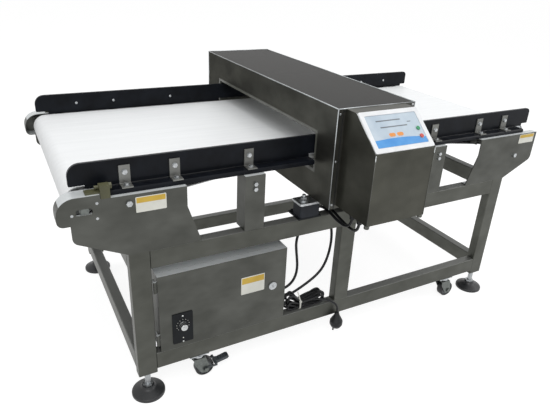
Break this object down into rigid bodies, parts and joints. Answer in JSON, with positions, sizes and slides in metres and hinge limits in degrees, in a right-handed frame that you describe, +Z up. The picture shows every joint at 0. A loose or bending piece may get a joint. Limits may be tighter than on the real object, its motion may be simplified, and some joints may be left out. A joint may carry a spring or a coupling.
{
  "type": "conveyor metal detector",
  "caption": "Belt conveyor on a tube frame with a tunnel detector head, control box, side guides, drive cabinet, levelling feet and casters.",
  "frame": {"origin": "on the floor, under the middle of the machine's overall box without its cables", "axes": "+X along the belt's travel, +Y away from the operator's side, +Z up"},
  "size_m": [1.5189, 0.9728, 0.7564],
  "materials": {
    "stainless": "satin",
    "zinc": "bright zinc plate",
    "black_plastic": "matt",
    "guide_black": "semi gloss",
    "belt_white": "matt",
    "board": "matt",
    "rubber_black": "matt",
    "tyre": "matt",
    "motor_grey": "cast",
    "olive": "satin",
    "grp": "matt",
    "bezel_white": "satin",
    "screen": "gloss",
    "key_green": "gloss",
    "key_red": "gloss",
    "black_metal": "satin",
    "cable_black": "satin"
  },
  "bodies": {
    "frame": {"legs": "stainless", "rails": "stainless", "caster_plates": "zinc", "side_plates": "stainless", "bed_posts": "stainless", "bed_bearers": "stainless", "slider_board": "board", "bed_sheets": "stainless", "bed_rails": "guide_black", "belt": "belt_white", "bearings_and_axles": "zinc", "gearmotor": "motor_grey", "drive_belt": "rubber_black", "side_guides": "guide_black", "guide_brackets": "stainless", "bolts": "zinc", "end_guards": "stainless", "take_ups": "olive", "head_case": "stainless", "head_cover": "stainless", "tunnel_liner": "grp", "mount_plates": "black_metal", "mount_rubbers": "rubber_black", "head_feet": "zinc", "control_box": "stainless", "control_bezel": "bezel_white", "control_screen": "screen", "cabinet_body": "stainless", "drive_unit": "motor_grey", "signal_cable": "cable_black", "power_cable": "cable_black", "mains_lead": "cable_black", "mains_hank": "cable_black", "mains_plug": "black_plastic", "cable_glands": "black_plastic"},
    "foot_near_left": {"foot_near_left": "black_plastic"},
    "caster_fork_near_left": {"caster_fork_near_left": "zinc"},
    "caster_wheel_near_left": {"caster_wheel_near_left": "tyre"},
    "brake_pedal_near": {"brake_pedal_near": "black_plastic"},
    "foot_far_left": {"foot_far_left": "black_plastic"},
    "caster_fork_far_left": {"caster_fork_far_left": "zinc"},
    "caster_wheel_far_left": {"caster_wheel_far_left": "tyre"},
    "brake_pedal_far": {"brake_pedal_far": "black_plastic"},
    "foot_near_right": {"foot_near_right": "black_plastic"},
    "caster_fork_near_right": {"caster_fork_near_right": "zinc"},
    "caster_wheel_near_right": {"caster_wheel_near_right": "tyre"},
    "foot_far_right": {"foot_far_right": "black_plastic"},
    "caster_fork_far_right": {"caster_fork_far_right": "zinc"},
    "caster_wheel_far_right": {"caster_wheel_far_right": "tyre"},
    "drive_roller": {"drive_roller": "zinc"},
    "tail_roller": {"tail_roller": "zinc"},
    "idler_left": {"idler_left": "zinc"},
    "idler_right": {"idler_right": "zinc"},
    "motor_pulley": {"motor_pulley": "zinc"},
    "green_key": {"green_key": "key_green"},
    "red_key": {"red_key": "key_red"},
    "cabinet_door": {"cabinet_door": "stainless", "speed_plate": "black_plastic"},
    "cabinet_lock": {"cabinet_lock": "zinc"},
    "speed_knob": {"speed_knob": "zinc"}
  },
  "joints": [
    {"name": "foot_near_left_height", "type": "slide", "parent": "frame", "child": "foot_near_left", "axis": [0, 0, 1], "range_m": [-0.02, 0.03]},
    {"name": "caster_swivel_near_left", "type": "hinge", "parent": "frame", "child": "caster_fork_near_left", "pos_m": [-0.4505, -0.28225, 0.06], "axis": [0, 0, 1], "continuous": true},
    {"name": "caster_roll_near_left", "type": "hinge", "parent": "caster_fork_near_left", "child": "caster_wheel_near_left", "pos_m": [-0.4345, -0.28225, 0.029], "axis": [0, 1, 0], "continuous": true},
    {"name": "brake_near", "type": "hinge", "parent": "caster_fork_near_left", "child": "brake_pedal_near", "pos_m": [-0.4345, -0.28225, 0.029], "axis": [0, 1, 0], "range_deg": [0, 12]},
    {"name": "foot_far_left_height", "type": "slide", "parent": "frame", "child": "foot_far_left", "axis": [0, 0, 1], "range_m": [-0.02, 0.03]},
    {"name": "caster_swivel_far_left", "type": "hinge", "parent": "frame", "child": "caster_fork_far_left", "pos_m": [-0.4505, 0.39875, 0.06], "axis": [0, 0, 1], "continuous": true},
    {"name": "caster_roll_far_left", "type": "hinge", "parent": "caster_fork_far_left", "child": "caster_wheel_far_left", "pos_m": [-0.4345, 0.39875, 0.029], "axis": [0, 1, 0], "continuous": true},
    {"name": "brake_far", "type": "hinge", "parent": "caster_fork_far_left", "child": "brake_pedal_far", "pos_m": [-0.4345, 0.39875, 0.029], "axis": [0, 1, 0], "range_deg": [0, 12]},
    {"name": "foot_near_right_height", "type": "slide", "parent": "frame", "child": "foot_near_right", "axis": [0, 0, 1], "range_m": [-0.02, 0.03]},
    {"name": "caster_swivel_near_right", "type": "hinge", "parent": "frame", "child": "caster_fork_near_right", "pos_m": [0.4735, -0.28225, 0.06], "axis": [0, 0, 1], "continuous": true},
    {"name": "caster_roll_near_right", "type": "hinge", "parent": "caster_fork_near_right", "child": "caster_wheel_near_right", "pos_m": [0.4895, -0.28225, 0.029], "axis": [0, 1, 0], "continuous": true},
    {"name": "foot_far_right_height", "type": "slide", "parent": "frame", "child": "foot_far_right", "axis": [0, 0, 1], "range_m": [-0.02, 0.03]},
    {"name": "caster_swivel_far_right", "type": "hinge", "parent": "frame", "child": "caster_fork_far_right", "pos_m": [0.4735, 0.39875, 0.06], "axis": [0, 0, 1], "continuous": true},
    {"name": "caster_roll_far_right", "type": "hinge", "parent": "caster_fork_far_right", "child": "caster_wheel_far_right", "pos_m": [0.4895, 0.39875, 0.029], "axis": [0, 1, 0], "continuous": true},
    {"name": "drive_roller_spin", "type": "hinge", "parent": "frame", "child": "drive_roller", "pos_m": [0.7235, 0.05825, 0.568], "axis": [0, 1, 0], "continuous": true},
    {"name": "tail_roller_spin", "type": "hinge", "parent": "frame", "child": "tail_roller", "pos_m": [-0.7005, 0.05825, 0.568], "axis": [0, 1, 0], "continuous": true},
    {"name": "idler_left_spin", "type": "hinge", "parent": "frame", "child": "idler_left", "pos_m": [-0.2955, 0.05825, 0.572], "axis": [0, 1, 0], "continuous": true},
    {"name": "idler_right_spin", "type": "hinge", "parent": "frame", "child": "idler_right", "pos_m": [0.3185, 0.05825, 0.572], "axis": [0, 1, 0], "continuous": true},
    {"name": "motor_pulley_spin", "type": "hinge", "parent": "frame", "child": "motor_pulley", "pos_m": [0.6115, 0.05825, 0.49], "axis": [0, 1, 0], "continuous": true},
    {"name": "green_key_press", "type": "slide", "parent": "frame", "child": "green_key", "axis": [0, 0.6531, -0.7573], "range_m": [0, 0.0006], "stiffness_N_per_m": 900, "springref_m": -0.0004},
    {"name": "red_key_press", "type": "slide", "parent": "frame", "child": "red_key", "axis": [0, 0.6531, -0.7573], "range_m": [0, 0.0006], "stiffness_N_per_m": 900, "springref_m": -0.0004},
    {"name": "cabinet_door_swing", "type": "hinge", "parent": "frame", "child": "cabinet_door", "pos_m": [-0.5615, -0.29575, 0.25], "axis": [0, 0, -1], "range_deg": [0, 110]},
    {"name": "cabinet_lock_turn", "type": "hinge", "parent": "cabinet_door", "child": "cabinet_lock", "pos_m": [-0.2335, -0.28675, 0.25], "axis": [0, 1, 0], "range_deg": [0, 90]},
    {"name": "speed_knob_turn", "type": "hinge", "parent": "cabinet_door", "child": "speed_knob", "pos_m": [-0.4955, -0.30175, 0.202], "axis": [0, 1, 0], "range_deg": [-135, 135]}
  ],
  "couplings": [
    {"joint": "tail_roller_spin", "follows": "drive_roller_spin", "ratio": 1},
    {"joint": "motor_pulley_spin", "follows": "drive_roller_spin", "ratio": 1},
    {"joint": "idler_left_spin", "follows": "drive_roller_spin", "ratio": -3.4},
    {"joint": "idler_right_spin", "follows": "drive_roller_spin", "ratio": -3.4}
  ]
}
